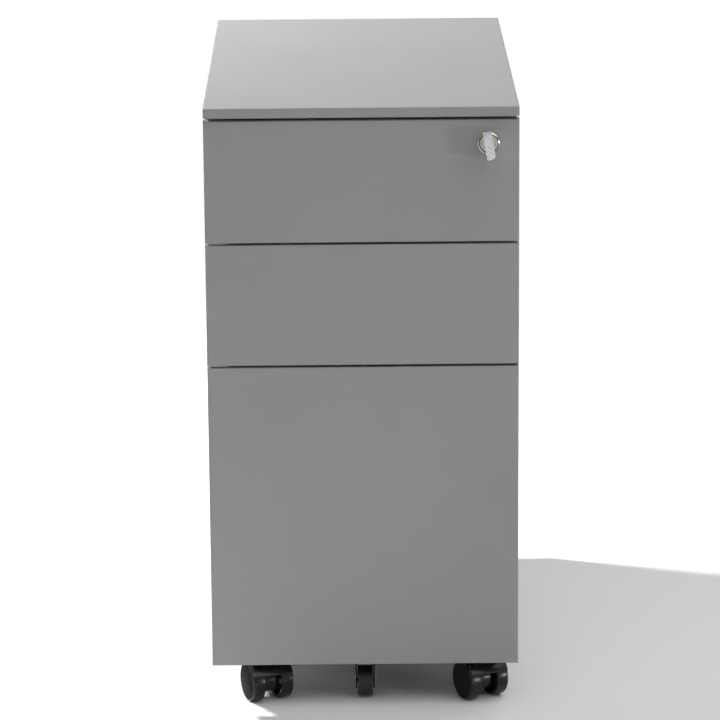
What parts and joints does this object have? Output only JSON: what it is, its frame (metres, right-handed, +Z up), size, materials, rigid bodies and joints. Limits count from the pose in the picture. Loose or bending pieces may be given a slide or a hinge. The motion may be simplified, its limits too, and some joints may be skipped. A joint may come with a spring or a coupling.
{
  "type": "mobile drawer pedestal",
  "caption": "Slim grey steel pedestal on castors: shallow drawers over a filing drawer, side finger pulls, and a keyed lock that holds every drawer.",
  "frame": {"origin": "on the floor, under the middle of the overall box with the key in the lock", "axes": "+Z up, drawers open towards -Y, +X to the right as seen from the front"},
  "size_m": [0.3, 0.5206, 0.6],
  "materials": {
    "powder_coat": "fine silver-grey powder coat, satin",
    "zinc": "zinc plated, semi-bright",
    "nickel": "nickel plated",
    "key_grip": "fine grained",
    "castor_black": "smooth black nylon",
    "black_paint": "black paint, satin",
    "cage_nylon": "natural nylon"
  },
  "bodies": {
    "carcass": {"top_panel": "powder_coat", "side_panel_left": "powder_coat", "side_panel_right": "powder_coat", "back_panel": "powder_coat", "base_panel": "powder_coat", "top_front_rail": "powder_coat", "castor_channels": "powder_coat", "small_slide_rails": "zinc", "file_slide_rails": "zinc", "lock_bar_guides": "zinc", "castor_plates": "zinc"},
    "top_drawer": {"top_drawer_front": "powder_coat", "top_drawer_liner": "powder_coat", "top_drawer_tray": "powder_coat", "top_drawer_runners": "zinc", "top_drawer_catch": "powder_coat", "lock_housing": "nickel", "lock_nut": "zinc"},
    "middle_drawer": {"middle_drawer_front": "powder_coat", "middle_drawer_liner": "powder_coat", "middle_drawer_tray": "powder_coat", "middle_drawer_runners": "zinc", "middle_drawer_catch": "powder_coat"},
    "file_drawer": {"file_drawer_front": "powder_coat", "file_drawer_liner": "powder_coat", "file_drawer_tray": "powder_coat", "file_drawer_runners": "zinc", "file_drawer_catch": "powder_coat", "file_hang_rails": "zinc", "fifth_castor_fork": "black_paint"},
    "file_slides_middle": {"file_slide_middles": "zinc"},
    "top_cages": {"top_ball_cages": "cage_nylon"},
    "middle_cages": {"middle_ball_cages": "cage_nylon"},
    "file_outer_cages": {"file_outer_ball_cages": "cage_nylon"},
    "file_inner_cages": {"file_inner_ball_cages": "cage_nylon"},
    "lock_plug": {"lock_plug": "nickel", "lock_cam": "zinc"},
    "key": {"key_blade": "nickel", "key_head": "key_grip"},
    "lock_bar": {"lock_bar": "zinc"},
    "fifth_wheel": {"fifth_castor_wheel": "castor_black"},
    "castor_front_left": {"castor_front_left_hood": "castor_black"},
    "castor_front_left_wheel_a": {"castor_front_left_wheel_a": "castor_black"},
    "castor_front_left_wheel_b": {"castor_front_left_wheel_b": "castor_black"},
    "castor_front_right": {"castor_front_right_hood": "castor_black"},
    "castor_front_right_wheel_a": {"castor_front_right_wheel_a": "castor_black"},
    "castor_front_right_wheel_b": {"castor_front_right_wheel_b": "castor_black"},
    "castor_rear_left": {"castor_rear_left_hood": "castor_black"},
    "castor_rear_left_wheel_a": {"castor_rear_left_wheel_a": "castor_black"},
    "castor_rear_left_wheel_b": {"castor_rear_left_wheel_b": "castor_black"},
    "castor_rear_right": {"castor_rear_right_hood": "castor_black"},
    "castor_rear_right_wheel_a": {"castor_rear_right_wheel_a": "castor_black"},
    "castor_rear_right_wheel_b": {"castor_rear_right_wheel_b": "castor_black"}
  },
  "joints": [
    {"name": "top_drawer_slide", "type": "slide", "parent": "carcass", "child": "top_drawer", "axis": [0, -1, 0], "range_m": [0, 0.262]},
    {"name": "middle_drawer_slide", "type": "slide", "parent": "carcass", "child": "middle_drawer", "axis": [0, -1, 0], "range_m": [0, 0.262]},
    {"name": "file_drawer_slide", "type": "slide", "parent": "carcass", "child": "file_drawer", "axis": [0, -1, 0], "range_m": [0, 0.35]},
    {"name": "file_middle_slide", "type": "slide", "parent": "carcass", "child": "file_slides_middle", "axis": [0, -1, 0], "range_m": [0, 0.175]},
    {"name": "top_cage_slide", "type": "slide", "parent": "carcass", "child": "top_cages", "axis": [0, -1, 0], "range_m": [0, 0.131]},
    {"name": "middle_cage_slide", "type": "slide", "parent": "carcass", "child": "middle_cages", "axis": [0, -1, 0], "range_m": [0, 0.131]},
    {"name": "file_outer_cage_slide", "type": "slide", "parent": "carcass", "child": "file_outer_cages", "axis": [0, -1, 0], "range_m": [0, 0.0875]},
    {"name": "file_inner_cage_slide", "type": "slide", "parent": "carcass", "child": "file_inner_cages", "axis": [0, -1, 0], "range_m": [0, 0.2625]},
    {"name": "lock_turn", "type": "hinge", "parent": "top_drawer", "child": "lock_plug", "pos_m": [0.1208, -0.23675, 0.5644], "axis": [0, 1, 0], "range_deg": [0, 90]},
    {"name": "key_pull", "type": "slide", "parent": "lock_plug", "child": "key", "axis": [0, -1, 0], "range_m": [0, 0.03]},
    {"name": "lock_bar_lift", "type": "slide", "parent": "carcass", "child": "lock_bar", "axis": [0, 0, 1], "range_m": [0, 0.012]},
    {"name": "castor_front_left_swivel", "type": "hinge", "parent": "carcass", "child": "castor_front_left", "pos_m": [-0.105, -0.18975, 0.048], "axis": [0, 0, 1], "continuous": true},
    {"name": "castor_front_left_wheel_a_roll", "type": "hinge", "parent": "castor_front_left", "child": "castor_front_left_wheel_a", "pos_m": [-0.09751, -0.20829, 0.02], "axis": [0.9272, 0.3746, 0], "continuous": true},
    {"name": "castor_front_left_wheel_b_roll", "type": "hinge", "parent": "castor_front_left", "child": "castor_front_left_wheel_b", "pos_m": [-0.09751, -0.20829, 0.02], "axis": [0.9272, 0.3746, 0], "continuous": true},
    {"name": "castor_front_right_swivel", "type": "hinge", "parent": "carcass", "child": "castor_front_right", "pos_m": [0.105, -0.18975, 0.048], "axis": [0, 0, 1], "continuous": true},
    {"name": "castor_front_right_wheel_a_roll", "type": "hinge", "parent": "castor_front_right", "child": "castor_front_right_wheel_a", "pos_m": [0.11408, -0.20757, 0.02], "axis": [0.891, 0.454, 0], "continuous": true},
    {"name": "castor_front_right_wheel_b_roll", "type": "hinge", "parent": "castor_front_right", "child": "castor_front_right_wheel_b", "pos_m": [0.11408, -0.20757, 0.02], "axis": [0.891, 0.454, 0], "continuous": true},
    {"name": "castor_rear_left_swivel", "type": "hinge", "parent": "carcass", "child": "castor_rear_left", "pos_m": [-0.105, 0.21025, 0.048], "axis": [0, 0, 1], "continuous": true},
    {"name": "castor_rear_left_wheel_a_roll", "type": "hinge", "parent": "castor_rear_left", "child": "castor_rear_left_wheel_a", "pos_m": [-0.11184, 0.22904, 0.02], "axis": [-0.9397, -0.342, 0], "continuous": true},
    {"name": "castor_rear_left_wheel_b_roll", "type": "hinge", "parent": "castor_rear_left", "child": "castor_rear_left_wheel_b", "pos_m": [-0.11184, 0.22904, 0.02], "axis": [-0.9397, -0.342, 0], "continuous": true},
    {"name": "castor_rear_right_swivel", "type": "hinge", "parent": "carcass", "child": "castor_rear_right", "pos_m": [0.105, 0.21025, 0.048], "axis": [0, 0, 1], "continuous": true},
    {"name": "castor_rear_right_wheel_a_roll", "type": "hinge", "parent": "castor_rear_right", "child": "castor_rear_right_wheel_a", "pos_m": [0.11018, 0.22957, 0.02], "axis": [-0.9659, 0.2588, 0], "continuous": true},
    {"name": "castor_rear_right_wheel_b_roll", "type": "hinge", "parent": "castor_rear_right", "child": "castor_rear_right_wheel_b", "pos_m": [0.11018, 0.22957, 0.02], "axis": [-0.9659, 0.2588, 0], "continuous": true},
    {"name": "fifth_wheel_roll", "type": "hinge", "parent": "file_drawer", "child": "fifth_wheel", "pos_m": [0, -0.20475, 0.0165], "axis": [1, 0, 0], "continuous": true}
  ],
  "couplings": [
    {"joint": "file_middle_slide", "follows": "file_drawer_slide", "ratio": 0.5},
    {"joint": "file_outer_cage_slide", "follows": "file_drawer_slide", "ratio": 0.25},
    {"joint": "file_inner_cage_slide", "follows": "file_drawer_slide", "ratio": 0.75},
    {"joint": "top_cage_slide", "follows": "top_drawer_slide", "ratio": 0.5},
    {"joint": "middle_cage_slide", "follows": "middle_drawer_slide", "ratio": 0.5},
    {"joint": "lock_turn", "follows": "lock_bar_lift", "rad_per_m": 130.9}
  ]
}
